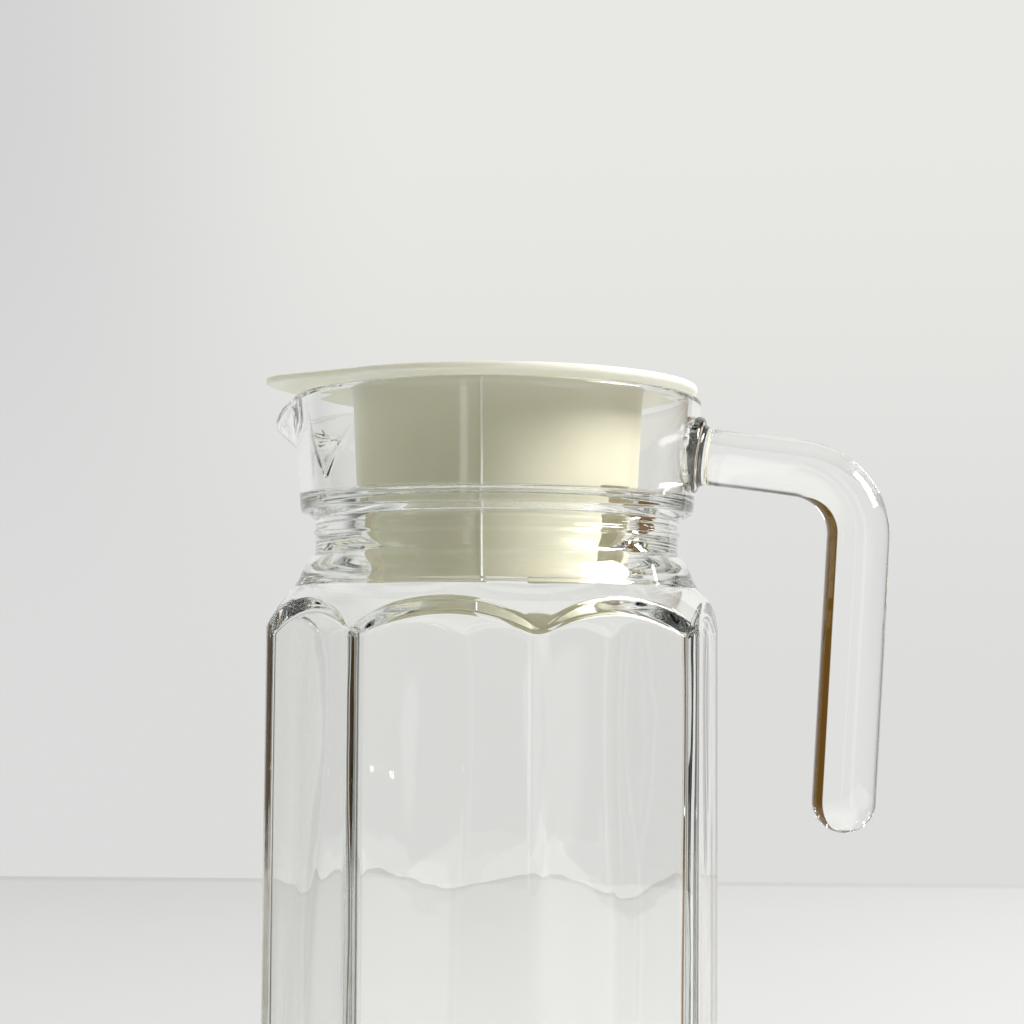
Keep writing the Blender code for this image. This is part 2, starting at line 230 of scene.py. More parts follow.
def column_angles():
    """Directions of the mesh columns, closer together at the eight corners and on the lip."""
    angles = []
    half = pi / FLATS
    for flat in range(FLATS):
        count, bunching = COLUMNS_PER_FLAT, CORNER_BUNCHING
        if flat == LIP_FLAT:
            count, bunching = LIP_COLUMNS, LIP_BUNCHING
        for i in range(count):
            s = -1 + 2 * i / count
            angles.append(flat * 2 * half + half * ((1 - bunching) * s + bunching * sin(s * pi / 2)))
    return angles


def octagon_radius(angle, inradius, corner_r):
    """Distance from the axis to a rounded octagon in one direction."""
    half = pi / FLATS
    off_flat = (angle + half) % (2 * half) - half
    tangent = atan2((inradius - corner_r) * sin(half) / cos(half), inradius)
    if abs(off_flat) <= tangent:
        return inradius / cos(off_flat)
    reach = (inradius - corner_r) / cos(half)
    off_corner = half - abs(off_flat)
    return reach * cos(off_corner) + sqrt(corner_r ** 2 - (reach * sin(off_corner)) ** 2)


def collar_r(z, inset=0.0):
    share = (z - COLLAR_BOTTOM_Z) / (RIM_Z - COLLAR_BOTTOM_Z)
    return COLLAR_BOTTOM_R + (COLLAR_TOP_R - COLLAR_BOTTOM_R) * share - inset


def dome_r(z):
    return DOME_CENTRE_R + sqrt(DOME_ARC_R ** 2 - (z - DOME_CENTRE_Z) ** 2)


def arch_z(angle):
    """Height at which the flats and corners cut the dome."""
    reach = octagon_radius(angle, FLAT_R, CORNER_R) - DOME_CENTRE_R
    return DOME_CENTRE_Z + sqrt(DOME_ARC_R ** 2 - reach ** 2)


def funnel_r(z):
    return FUNNEL_R + (FUNNEL_Z - z) / FUNNEL_RISE


def inner_arch_z(angle):
    """Height at which the inside flats cut the funnel."""
    reach = octagon_radius(angle, FLAT_R - WALL, INNER_CORNER_R)
    return FUNNEL_Z - (reach - FUNNEL_R) * FUNNEL_RISE


def rounding(start, corner, end, steps):
    """Points of a soft corner, both ends left out."""
    points = []
    for i in range(1, steps):
        t = i / steps
        points.append(tuple((1 - t) ** 2 * s + 2 * t * (1 - t) * c + t * t * e
                            for s, c, e in zip(start, corner, end)))
    return points


def shoulder_column(reach, arch, above, top_z, softness):
    """One column of the shoulder, from the side's top row up to top_z, as (r, z) points."""
    start_z, end_z = arch - softness, arch + softness
    column = [(reach, SIDE_TOP_Z + (start_z - SIDE_TOP_Z) * i / ARCH_ROWS) for i in range(ARCH_ROWS + 1)]
    column += rounding((reach, start_z), (reach, arch), (above(end_z), end_z), ARCH_ROWS)
    for i in range(SHOULDER_ROWS + 1):
        z = end_z + (top_z - end_z) * i / SHOULDER_ROWS
        column.append((above(z), z))
    return column


def heel_rows(inradius, bottom_z, heel_r):
    """Flat bottom and rounded heel, centre outwards, as (r, z, inset) rows.

    An r of None stands for the octagon's own edge.
    """
    flat = inradius - heel_r
    rows = [(flat * share, bottom_z, heel_r) for share in BASE_RINGS]
    for i in range(HEEL_STEPS + 1):
        turn = radians(90 * i / HEEL_STEPS)
        rows.append((None, bottom_z + heel_r * (1 - cos(turn)), heel_r * (1 - sin(turn))))
    return rows


def heel_point(row, angle, inradius, corner_r):
    """One heel row in one direction, as (r, z)."""
    r, z, inset = row
    edge = octagon_radius(angle, inradius - inset, max(corner_r - inset, LEAST_CORNER_R))
    return (edge if r is None else min(r, edge)), z


def outer_top():
    """Turned outline of bulge, neck, collar and rim, from the dome up to the rim's crest."""
    shape = [(radius * MM, RIM_Z - depth * MM) for radius, depth in BULGE]
    shape.append((NECK_R, NECK_BOTTOM_Z))
    for i in range(9):
        t = -1 + 2 * i / 8
        shape.append((NECK_R + NECK_RING_RISE * cos(t * pi / 2) ** 2, NECK_RING_Z + t * NECK_RING_HALF))
    shape += [(NECK_R + out * MM, COLLAR_BOTTOM_Z - down * MM) for out, down in COLLAR_FILLET]
    under = (COLLAR_BOTTOM_R - 1.0 * MM, COLLAR_BOTTOM_Z + 0.2 * MM)
    side = (COLLAR_BOTTOM_R, COLLAR_BOTTOM_Z + 1.3 * MM)
    shape += [under] + rounding(under, (COLLAR_BOTTOM_R, under[1] + 0.3 * MM), side, 5) + [side]
    top = RIM_Z - RIM_ROUND
    shape += [(collar_r(z), z) for _, z in line((0, side[1]), (0, top), 20)]
    shape += arc(COLLAR_TOP_R - RIM_ROUND, top, RIM_ROUND, 12, 84, 6)
    return shape


def inner_top():
    """Turned outline of the inside from the rim's crest down to the neck's bore."""
    top = RIM_Z - RIM_ROUND
    inner_rim = COLLAR_TOP_R - COLLAR_WALL
    shape = arc(inner_rim + RIM_ROUND, top, RIM_ROUND, 96, 180, 7)
    fillet_z = LEDGE_Z + LEDGE_FILLET
    shape += [(collar_r(z, COLLAR_WALL), z) for _, z in line((0, top), (0, fillet_z), 34)]
    ledge_r = collar_r(LEDGE_Z, COLLAR_WALL)
    shape += arc(ledge_r - LEDGE_FILLET, fillet_z, LEDGE_FILLET, -12, -84, 5)
    edge_r = NECK_BORE_R + BORE_EDGE_R
    shape += line(shape[-1], (edge_r + 0.1 * MM, LEDGE_Z), 5)
    shape += arc(edge_r, LEDGE_Z - BORE_EDGE_R, BORE_EDGE_R, 80, 180, 4)
    funnel_top = FUNNEL_Z + (FUNNEL_R - NECK_BORE_R) * FUNNEL_RISE
    start = (NECK_BORE_R, funnel_top + FUNNEL_TOP_SOFTNESS)
    end_z = funnel_top - FUNNEL_TOP_SOFTNESS
    end = (funnel_r(end_z), end_z)
    shape += line(shape[-1], start, 5)
    shape += rounding(start, (NECK_BORE_R, funnel_top), end, 6) + [end]
    return shape


def ripple(angle, z):
    """Slow waves of the inside wall, left by the plunger and the cooling glass."""
    waves = sum(size * sin(around * angle + rise * z + phase) for size, around, rise, phase in RIPPLES)
    turn = angle - WEDGE_TURN
    swell = WEDGE_BACKGROUND + (1 - WEDGE_BACKGROUND) * exp(-(turn / WEDGE_SPREAD) ** 2)
    height = (z - WEDGE_Z) / WEDGE_HALF
    wedge = -WEDGE_SLOPE * sin(WEDGE_WAVES * turn) * swell * (z - WEDGE_Z)
    wedge *= max(0.0, 1 - height ** 2) ** 2
    fade = clamp((z - FLOOR) / RIPPLE_BOTTOM_FADE)
    fade *= clamp((DOME_CENTRE_Z + RIPPLE_TOP_FADE - z) / RIPPLE_TOP_FADE)
    return (waves * MM + wedge) * fade


def press_lip(x, y, z, start_z, full_z, depth, power, crease):
    """Push a collar point outwards into the V-shaped pouring lip on the -X side.

    The V starts at start_z and is depth deep from full_z up; crease grooves its two edges.
    """
    off_axis = abs(atan2(y, -x)) / LIP_HALF_ANGLE
    if z <= start_z or off_axis > LIP_REACH:
        return x, y, z
    ridge = sqrt(off_axis ** 2 + LIP_CREST ** 2) - LIP_CREST
    rise_top = clamp((z - start_z) / (RIM_Z - start_z))
    z -= LIP_DROP * max(0.0, 1 - ridge) ** LIP_DROP_POWER * rise_top
    level = (z - start_z) / (full_z - start_z)
    push = depth * max(0.0, -smooth_min(0.0, ridge - clamp(level), LIP_BLEND)) ** power
    groove = exp(-((level - ridge) / LIP_CREASE_WIDTH) ** 2)
    push += crease * groove * clamp(LIP_CREASE_FADE * (1 - level))
    radius = hypot(x, y)
    scale = (radius + push) / radius
    return x * scale, y * scale, z


def glass_columns():
    """For every direction, the whole outline from base centre over the rim to the floor's centre."""
    inradius = FLAT_R - WALL
    outer_heel = heel_rows(FLAT_R, 0.0, HEEL_R)
    inner_heel = heel_rows(inradius, FLOOR, INNER_HEEL_R)
    outer_shape = outer_top()
    inner_shape = inner_top()
    columns = []
    for angle in column_angles():
        reach = octagon_radius(angle, FLAT_R, CORNER_R)
        outer = [heel_point(row, angle, FLAT_R, CORNER_R) for row in outer_heel]
        outer += line((reach, HEEL_R), (reach, SIDE_TOP_Z), OUTER_SIDE_ROWS)[:-1]
        outer += shoulder_column(reach, arch_z(angle), dome_r, DOME_TOP_Z, ARCH_SOFTNESS)
        column = [press_lip(r * cos(angle), r * sin(angle), z, *OUTER_LIP) for r, z in outer + outer_shape]

        reach = octagon_radius(angle, inradius, INNER_CORNER_R)
        funnel = shoulder_column(reach, inner_arch_z(angle), funnel_r, inner_shape[-1][1],
                                 FUNNEL_SOFTNESS)
        inner = inner_shape + funnel[-2::-1]
        inner += line((reach, SIDE_TOP_Z), (reach, FLOOR + INNER_HEEL_R), INNER_SIDE_ROWS)[:-1]
        inner += [heel_point(row, angle, inradius, INNER_CORNER_R) for row in reversed(inner_heel)]
        for r, z in inner:
            r += ripple(angle, z)
            column.append(press_lip(r * cos(angle), r * sin(angle), z, *INNER_LIP))
        columns.append(column)
    return columns


def glass_rings():
    return [list(ring) for ring in zip(*glass_columns())]


# ---------------------------------------------------------------- handle rod

ARM_START_X = 44.0 * MM
ARM_Z = RIM_Z - 13.0 * MM
ARM_SLOPE = radians(7.9)
ARM_LENGTH = 25.6 * MM
ARM_R = 6.4 * MM
BUTTON_R = 8.8 * MM
BUTTON_SIDE = 2.16 * MM
BUTTON_ROUND = 1.2 * MM
BUTTON_FILLET = 3.2 * MM
BEND_R = 15.0 * MM
DROP_R = 7.0 * MM
DROP_LEAN = radians(3.4)
ROD_SIDES = 64
BEND_STEPS = 36
DROP_STEPS = 12
TIP_STEPS = 10
TIP_END = radians(86)


def handle_path():
    """Centreline and radius of the rod in the XZ plane, collar to free end."""
    path = []
    direction = Vector((cos(ARM_SLOPE), 0, -sin(ARM_SLOPE)))
    start = Vector((ARM_START_X, 0, ARM_Z))

    def arm(along, radius):
        path.append((start + direction * along, radius))

    # button, its rounded edge, the fillet down to the arm, and the arm
    arm(0, BUTTON_R)
    arm(BUTTON_SIDE, BUTTON_R)
    for i in range(1, 6):
        turn = radians(90 * i / 5)
        arm(BUTTON_SIDE + BUTTON_ROUND * sin(turn), BUTTON_R - BUTTON_ROUND * (1 - cos(turn)))
    fillet_start = BUTTON_SIDE + BUTTON_ROUND
    for i in range(1, 8):
        turn = radians(90 * i / 7)
        arm(fillet_start + BUTTON_FILLET * (1 - cos(turn)),
            ARM_R + (BUTTON_R - BUTTON_ROUND - ARM_R) * (1 - sin(turn)))
    arm_start = fillet_start + BUTTON_FILLET
    for i in range(1, 9):
        arm(arm_start + (ARM_LENGTH - arm_start) * i / 8, ARM_R)

    # bend
    centre = path[-1][0] - BEND_R * Vector((sin(ARM_SLOPE), 0, cos(ARM_SLOPE)))
    first, last = pi / 2 - ARM_SLOPE, -DROP_LEAN
    for i in range(1, BEND_STEPS + 1):
        share = i / BEND_STEPS
        turn = first + (last - first) * share
        path.append((centre + BEND_R * Vector((cos(turn), 0, sin(turn))),
                     ARM_R + (DROP_R - ARM_R) * share))

    # drop and round tip
    end = path[-1][0]
    down = Vector((-sin(DROP_LEAN), 0, -cos(DROP_LEAN)))
    drop_length = (end.z - handle_low.z - DROP_R) / cos(DROP_LEAN)
    for i in range(1, DROP_STEPS + 1):
        path.append((end + down * drop_length * i / DROP_STEPS, DROP_R))
    tip = path[-1][0]
    for i in range(1, TIP_STEPS + 1):
        turn = TIP_END * i / TIP_STEPS
        path.append((tip + down * DROP_R * sin(turn), DROP_R * cos(turn)))
    return path


def handle_mesh():
    path = handle_path()
    rings = []
    for i, (centre, radius) in enumerate(path):
        before = path[max(i - 1, 0)][0]
        after = path[min(i + 1, len(path) - 1)][0]
        along = (after - before).normalized()
        across = Vector((0, 1, 0))
        up = along.cross(across)
        ring = []
        for k in range(ROD_SIDES):
            turn = 2 * pi * k / ROD_SIDES
            point = centre + radius * (cos(turn) * up + sin(turn) * across)
            if i == 0:
                point.x = ARM_START_X
            ring.append(point)
        rings.append(ring)
    return loft_mesh("handle_rod", rings)


def build_glass(material):
    """Body and handle as one seamless surface."""
    jug = add_object("jug_glass", loft_mesh("jug_glass", glass_rings()))
    rod = add_object("handle_rod", handle_mesh())
    union = jug.modifiers.new("join_handle", "BOOLEAN")
    union.operation = "UNION"
    union.object = rod
    apply_modifiers(jug)
    bpy.data.objects.remove(rod, do_unlink=True)
    smooth(jug, GLASS_SHARP_DEG)
    finish_piece(jug, material, "jug", "clear_glass", "glass_body", "handle")


# ---------------------------------------------------------------- lid

PLUG_TOP_R = plug_high.x
PLUG_STEP_Z = RIM_Z - 22.4 * MM
PLUG_STEP_R = 32.3 * MM
PLUG_LOWER_R = 30.5 * MM
PLUG_WALL = 1.6 * MM
PLUG_CAP_GAP = 0.05 * MM
PLUG_FLARE = 0.5 * MM                     # small spread of the tube's top edge
PLUG_SOFT_EDGE = 0.3 * MM
SLOT_COUNT = 3
SLOT_ANGLE = radians(21)
SLOT_TOP_Z = RIM_Z - 22.0 * MM
SLOT_TURN = radians(97.2)
SLOT_STEPS = 8
TAB_STEPS = 40
SEAM_TURN = radians(-83.5)
SEAM_HEIGHT = 0.32 * MM
SEAM_HALF = radians(0.6)

CAP_UNDER_Z = cap_high.z - 1.7 * MM
CAP_R = 46.0 * MM
TONGUE_TIP_R = 10.9 * MM
TONGUE_REACH = 54.0 * MM
TONGUE_TURN = radians(209.5)
CAP_EDGE_R = 0.65 * MM
CAP_CROWN_EDGE = ((1.6, 0.02), (4.0, 0.06), (9.0, 0.12))      # inset and rise in mm
CAP_CROWN_RINGS = (34, 22, 10, 1)                             # radii in mm
CAP_CROWN_RISE = (0.14, 0.26)                                 # in mm, at the first ring and the axis
SPIGOT_R = 29.5 * MM
SPIGOT_WALL = 2.0 * MM
SPIGOT_BEAD = 0.8 * MM
CAP_COLUMNS = 320
LID_SHARP_DEG = 40


def plug_columns():
    """Directions of the tube's columns, and of its seam; slot edges and seam get columns of their own."""
    turns = []
    tab = 2 * pi / SLOT_COUNT - SLOT_ANGLE
    for slot in range(SLOT_COUNT):
        middle = SLOT_TURN + slot * 2 * pi / SLOT_COUNT
        turns += [middle - SLOT_ANGLE / 2 + SLOT_ANGLE * i / SLOT_STEPS for i in range(SLOT_STEPS)]
        turns += [middle + SLOT_ANGLE / 2 + tab * i / TAB_STEPS for i in range(TAB_STEPS)]
    seam = SEAM_TURN % (2 * pi)
    turns = [turn % (2 * pi) for turn in turns]
    turns = [turn for turn in turns if abs(turn - seam) > 1.5 * SEAM_HALF]
    turns += [seam - SEAM_HALF, seam, seam + SEAM_HALF]
    return sorted(turns), seam


def in_slot(turn, z):
    """Whether a point of the tube lies in one of its slots."""
    if z > SLOT_TOP_Z:
        return False
    off = (turn - SLOT_TURN + pi / SLOT_COUNT) % (2 * pi / SLOT_COUNT) - pi / SLOT_COUNT
    return abs(off) < SLOT_ANGLE / 2


def plug_outline():
    """Outside of the tube, top to bottom, with a row at the slots' top."""
    top = CAP_UNDER_Z - PLUG_CAP_GAP
    points = [(PLUG_TOP_R + PLUG_FLARE, top), (PLUG_TOP_R + 0.3 * PLUG_FLARE, top - 0.7 * PLUG_FLARE)]
    points += line((PLUG_TOP_R, top - 0.9 * MM), (PLUG_STEP_R + 0.05 * MM, SLOT_TOP_Z), 9)
    points += [(PLUG_STEP_R, PLUG_STEP_Z + 0.15 * MM), (PLUG_STEP_R - 0.1 * MM, PLUG_STEP_Z - 0.2 * MM)]
    points += line((PLUG_LOWER_R, PLUG_STEP_Z - 0.6 * MM), (PLUG_LOWER_R, plug_low.z), 8)
    return points


def plug_mesh():
    """Outside skin of the tube, without its slots and with the raised seam."""
    turns, seam = plug_columns()
    outline = plug_outline()
    bm = bmesh.new()
    grid = []
    for radius, z in outline:
        row = []
        for turn in turns:
            r = radius + (SEAM_HEIGHT if turn == seam else 0.0)
            row.append(bm.verts.new((r * cos(turn), r * sin(turn), z)))
        grid.append(row)
    for upper, lower, (_, lower_z) in zip(grid, grid[1:], outline[1:]):
        for i, turn in enumerate(turns):
            j = (i + 1) % len(turns)
            span = (turns[j] - turn) % (2 * pi)
            if not in_slot(turn + span / 2, lower_z + 0.01 * MM):
                bm.faces.new((upper[i], lower[i], lower[j], upper[j]))
    bmesh.ops.delete(bm, geom=[v for v in bm.verts if not v.link_faces], context="VERTS")
    mesh = bpy.data.meshes.new("lid_plug_tube")
    bm.to_mesh(mesh)
    bm.free()
    return mesh


def build_plug(material):
    plug = add_object("lid_plug_tube", plug_mesh())
    wall = plug.modifiers.new("wall", "SOLIDIFY")
    wall.thickness = PLUG_WALL
    wall.offset = -1
    wall.use_even_offset = True
    edges = plug.modifiers.new("soft_edges", "BEVEL")
    edges.width = PLUG_SOFT_EDGE
    edges.segments = 3
    edges.limit_method = "ANGLE"
    edges.angle_limit = radians(50)
    apply_modifiers(plug)
    smooth(plug, LID_SHARP_DEG)
    finish_piece(plug, material, "plug", "off_white_plastic", "lid_plug")


def tongue_radius(turn, inset=0.0):
    """Distance from the axis to the cap's edge; turn is measured from the tongue."""
    radius = CAP_R - inset
    tip_r = max(TONGUE_TIP_R - inset, 0.1 * MM)
    tip_x = TONGUE_REACH - TONGUE_TIP_R
    tangent = acos(clamp((radius - tip_r) / tip_x, -1, 1))
    off = abs((turn + pi) % (2 * pi) - pi)
    tip_end = atan2(tip_r * sin(tangent), tip_x + tip_r * cos(tangent))
    if off >= tangent:
        return radius
    if off > tip_end:
        return radius / cos(tangent - off)
    return tip_x * cos(off) + sqrt(max(tip_r ** 2 - (tip_x * sin(off)) ** 2, 0.0))


def spigot_outline():
    """The cap's underside and spigot as (radius, z), axis outwards."""
    under, low = CAP_UNDER_Z, cap_low.z
    inner = SPIGOT_R - SPIGOT_WALL
    return [(1 * MM, under), (14 * MM, under), (inner - 0.6 * MM, under), (inner, under - 0.6 * MM),
            (inner, low + 0.5 * MM), (inner + 0.5 * MM, low), (SPIGOT_R - 0.4 * MM, low),
            (SPIGOT_R + SPIGOT_BEAD, low + SPIGOT_BEAD), (SPIGOT_R, low + 2 * SPIGOT_BEAD),
            (SPIGOT_R, under)]


def disc_outline():
    """The disc's rounded edge as (inset from its outline, z), bottom to top."""
    under, top = CAP_UNDER_Z, cap_high.z
    outline = [(5.0 * MM, under), (1.2 * MM, under)]
    for i in range(5):
        turn = radians(-90 + 90 * i / 4)
        outline.append((CAP_EDGE_R * (1 - cos(turn)), under + CAP_EDGE_R * (1 + sin(turn))))
    for i in range(5):
        turn = radians(90 * i / 4)
        outline.append((CAP_EDGE_R * (1 - cos(turn)), top - CAP_EDGE_R * (1 - sin(turn))))
    return outline + [(inset * MM, top + rise * MM) for inset, rise in CAP_CROWN_EDGE]


def cap_mesh():
    """Spigot, disc with its tongue, and the low crown on top."""
    turns = [2 * pi * i / CAP_COLUMNS for i in range(CAP_COLUMNS)]

    def ring(radii, z):
        return [(radius * cos(turn), radius * sin(turn), z) for radius, turn in zip(radii, turns)]

    rings = [ring([radius] * CAP_COLUMNS, z) for radius, z in spigot_outline()]
    rings += [ring([tongue_radius(turn, inset) for turn in turns], z) for inset, z in disc_outline()]
    outer_rise, axis_rise = CAP_CROWN_RISE
    for radius in CAP_CROWN_RINGS:
        rise = outer_rise + (axis_rise - outer_rise) * (1 - radius / CAP_CROWN_RINGS[0])
        rings.append(ring([radius * MM] * CAP_COLUMNS, cap_high.z + rise * MM))
    mesh = loft_mesh("lid_cap_disc", rings)
    mesh.transform(Matrix.Rotation(TONGUE_TURN, 4, "Z"))
    return mesh


def build_cap(material):
    cap = add_object("lid_cap_disc", cap_mesh())
    smooth(cap, LID_SHARP_DEG)
    finish_piece(cap, material, "cap", "off_white_plastic", "lid_cap")


# ---------------------------------------------------------------- node trees

class Tree:
    """Short names for adding and linking shader nodes."""

    def __init__(self, tree):
        self.nodes = tree.nodes
        self.links = tree.links
        self.nodes.clear()

    def add(self, kind, settings=None, **inputs):
        node = self.nodes.new("ShaderNode" + kind)
        for name, value in (settings or {}).items():
            setattr(node, name, value)
        for name, value in inputs.items():
            self.feed(node.inputs[name.replace("_", " ")], value)
        return node

    def feed(self, socket, value):
        if isinstance(value, bpy.types.NodeSocket):
            self.links.new(value, socket)
        else:
            socket.default_value = value

    def math(self, operation, first, second=0.0):
        node = self.add("Math", {"operation": operation})
        self.feed(node.inputs[0], first)
        self.feed(node.inputs[1], second)
        return node.outputs[0]

    def ramp(self, value, low, high, to_low=0.0, to_high=1.0):
        """Smooth step of value between low and high."""
        node = self.add("MapRange", {"interpolation_type": "SMOOTHSTEP"})
        for name, number in (("Value", value), ("From Min", low), ("From Max", high),
                             ("To Min", to_low), ("To Max", to_high)):
            self.feed(node.inputs[name], number)
        return node.outputs["Result"]

    def mix(self, share, first, second):
        """Colour between first and second; a share of one gives the second."""
        node = self.add("Mix", {"data_type": "RGBA"})
        self.feed(node.inputs["Factor"], share)
        self.feed(node.inputs["A"], first)
        self.feed(node.inputs["B"], second)
        return node.outputs["Result"]

    def noise(self, vector, scale, detail=2.0):
        node = self.add("TexNoise", Vector=vector, Scale=scale, Detail=detail)
        return node.outputs["Fac"]

    def product(self, first, *others):
        """All the values multiplied."""
        for other in others:
            first = self.math("MULTIPLY", first, other)
        return first

    def distance(self, value, middle):
        """How far value is from middle, either way."""
        return self.math("ABSOLUTE", self.math("SUBTRACT", value, middle))

    def seen_in_glass(self, path):
        """One for a ray that a glass surface has bent or mirrored; path is the Light Path node."""
        return self.math("MAXIMUM", path.outputs["Is Transmission Ray"], path.outputs["Is Glossy Ray"])

    def surface(self, kind, shader):
        """End the tree: kind is Material or World."""
        output = self.add("Output" + kind)
        self.feed(output.inputs["Surface"], shader.outputs[0])


def grey(value):
    return (value, value, value, 1.0)


def new_material(name):
    material = bpy.data.materials.new(name)
    material.use_nodes = True
    return material, Tree(material.node_tree)


# ---------------------------------------------------------------- glass and plastic

GLASS_TINT = (0.994, 0.998, 0.986, 1)
CAUGHT_TINT = (0.72, 0.78, 0.72, 1)       # for light that is caught inside the walls
CAUGHT_DEPTH = (6.0, 9.0)                 # bounces at which the caught tint starts and is full
SHADOW_TINT = (0.95, 0.96, 0.955, 1)
PLASTIC_GLOW_RADIUS = (1.0, 0.95, 0.7)
PLASTIC_GLOW_DEPTH = 0.003
SPECK_COLOUR = (0.16, 0.11, 0.06, 1)
# colour of the painted highlight along the tube's mould seam
SEAM_HIGHLIGHT_COLOUR = (0.98, 0.955, 0.88, 1)
# the cap's colours are lighter than the tube's: painted light, for the thin disc glowing where it is lit
# from above
CAP_COLOURS = ((0.90, 0.88, 0.79, 1), (0.94, 0.925, 0.84, 1))
TUBE_COLOURS = ((0.79, 0.75, 0.615, 1), (0.84, 0.805, 0.675, 1))


def glass_material():
    """Clear glass, a little smudged and not quite even."""
    material, tree = new_material("clear_glass")
    place = tree.add("TexCoord").outputs["Object"]
    smudge = tree.noise(place, 55.0, 3.0)
    rough = tree.ramp(smudge, 0.5, 0.8, 0.0, 0.012)
    skin = tree.noise(place, 130.0, 1.0)
    bump = tree.add("Bump", Strength=0.08, Distance=0.0002, Height=skin)
    path = tree.add("LightPath")
    # light caught inside the walls travels far and comes back in the dark green-grey of thick glass
    caught = tree.ramp(path.outputs["Ray Depth"], *CAUGHT_DEPTH)
    tint = tree.mix(caught, GLASS_TINT, CAUGHT_TINT)
    glass = tree.add("BsdfPrincipled", Base_Color=tint, Roughness=rough, IOR=1.5,
                     Normal=bump.outputs[0])
    glass.inputs["Transmission Weight"].default_value = 1.0
    # room light and shadows pass straight through
    clear = tree.add("BsdfTransparent", Color=SHADOW_TINT)
    passes = tree.math("MAXIMUM", path.outputs["Is Shadow Ray"], path.outputs["Is Diffuse Ray"])
    both = tree.add("MixShader")
    tree.feed(both.inputs[0], passes)
    tree.feed(both.inputs[1], glass.outputs[0])
    tree.feed(both.inputs[2], clear.outputs[0])
    tree.surface("Material", both)
    return material


def plastic_material(name, colours, glow, seam=False):
    """Off-white plastic with fine dark specks; along the tube's mould seam a painted highlight makes it
    whiter.
    """
    material, tree = new_material(name)
    place = tree.add("TexCoord").outputs["Object"]
    cloud = tree.noise(place, 38.0, 4.0)
    base = tree.mix(tree.ramp(cloud, 0.3, 0.7), *colours)
    cells = tree.add("TexVoronoi", Vector=place, Scale=150.0)
    near = tree.ramp(cells.outputs["Distance"], 0.03, 0.05, 1.0, 0.0)
    rare = tree.add("SeparateColor", Color=cells.outputs["Color"])
    speck = tree.product(near, tree.math("GREATER_THAN", rare.outputs[0], 0.86), 0.8)
    colour = tree.mix(speck, base, SPECK_COLOUR)
    if seam:
        axes = tree.add("SeparateXYZ", Vector=place)
        turn = tree.math("ARCTAN2", axes.outputs["Y"], axes.outputs["X"])
        off = tree.distance(turn, SEAM_TURN)
        # painted highlight: a whiter stripe along the mould seam, where its ridge would catch the light
        seam_highlight = tree.ramp(off, 0.6 * SEAM_HALF, 1.1 * SEAM_HALF, 0.85, 0.0)
        colour = tree.mix(seam_highlight, colour, SEAM_HIGHLIGHT_COLOUR)
    fine = tree.noise(place, 900.0, 2.0)
    rough = tree.ramp(tree.noise(place, 90.0, 3.0), 0.3, 0.75, 0.30, 0.46)
    bump = tree.add("Bump", Strength=0.10, Distance=0.0002, Height=fine)
    shader = tree.add("BsdfPrincipled", Base_Color=colour, Roughness=rough,
                      Normal=bump.outputs[0], IOR=1.5)
    shader.inputs["Subsurface Weight"].default_value = glow
    shader.inputs["Subsurface Radius"].default_value = PLASTIC_GLOW_RADIUS
    shader.inputs["Subsurface Scale"].default_value = PLASTIC_GLOW_DEPTH
    tree.surface("Material", shader)
    return material


# ---------------------------------------------------------------- stage, light and camera

CAMERA_AZIMUTH = 12.5
CAMERA_DISTANCE = 0.4608
CAMERA_BELOW_RIM = 55.3 * MM
CAMERA_LENS = 70.3
CAMERA_PITCH = 3.66
CAMERA_YAW = 0.43
CAMERA_ROLL = 0.4

# a square floor with rounded corners
FLOOR_HALF = 0.86
FLOOR_SQUARENESS = 6.0
FLOOR_STEPS = 160
FLOOR_DROP = 0.2 * MM
FLOOR_TURN = radians(CAMERA_AZIMUTH - 1.0)        # its far edge lies nearly square to the view
FLOOR_COLOURS = ((0.755, 0.768, 0.795, 1), (0.79, 0.803, 0.83, 1))
FLOOR_EDGE_SHADOW = (0.03, 0.012)                # the painted shadow line's fade, measured from the far edge
FLOOR_EDGE_SHADOW_GREY = 0.70

# dark flags around the jug, which only its glass sees
RIGHT_FLAG = (0.67, 0.71)                 # start and end, in radians from straight ahead
RIGHT_FLAG_BROWN = (0.130, 0.060, 0.001, 1)
LEFT_FLAG = (-0.72, -1.10)
LEFT_FLAG_GREY = 0.14
BEHIND_FLAG = (-0.05, -0.4)               # start and end, as the forward part of the direction
TOP_FLAG = (0.75, 1.05)                   # start and end, in radians above the horizon
DARK_FLAG_GREY = 0.05
FLOOR_FLAG_AWAY = (-0.12, 0.04)           # on the floor the side flags start behind the jug
FLOOR_FLAG_REACH = (0.20, 0.42)           # and well away from it

# windows behind the camera: turn and half width, lower and upper edge in degrees, brightness
WINDOWS = ((-161.5, 2.0, -8, 24, 1.3), (-112, 5, 8, 30, 1.4))
WINDOW_SIDE_BLUR = 0.8
WINDOW_EDGE_BLUR = 1.0

# the wall's colours, low then high, and where they change, in radians from straight ahead
WALL_LEFT = ((0.715, 0.722, 0.712, 1), (0.648, 0.652, 0.650, 1))
WALL_RIGHT = ((0.722, 0.722, 0.712, 1), (0.812, 0.808, 0.782, 1))
WALL_CHANGE_UP = (-0.12, 0.22)
WALL_CHANGE_ACROSS = (-0.27, -0.05)
WALL_IN_GLASS = (0.10, 1.6)               # share and grey that brighten the wall for the glass

# the light of the room
ROOM_SHADE = (0.195, 0.200, 0.120, 1)
ROOM_GREY = 0.46
ROOM_TOP_GREY = 0.16
LIGHTS_AIM = Vector((0, 0, 0.15))


def direction(azimuth_deg, elevation_deg):
    """Unit vector from the jug; azimuth 0 is the -Y side, 90 is +X."""
    a, e = radians(azimuth_deg), radians(elevation_deg)
    return Vector((sin(a) * cos(e), -cos(a) * cos(e), sin(e)))


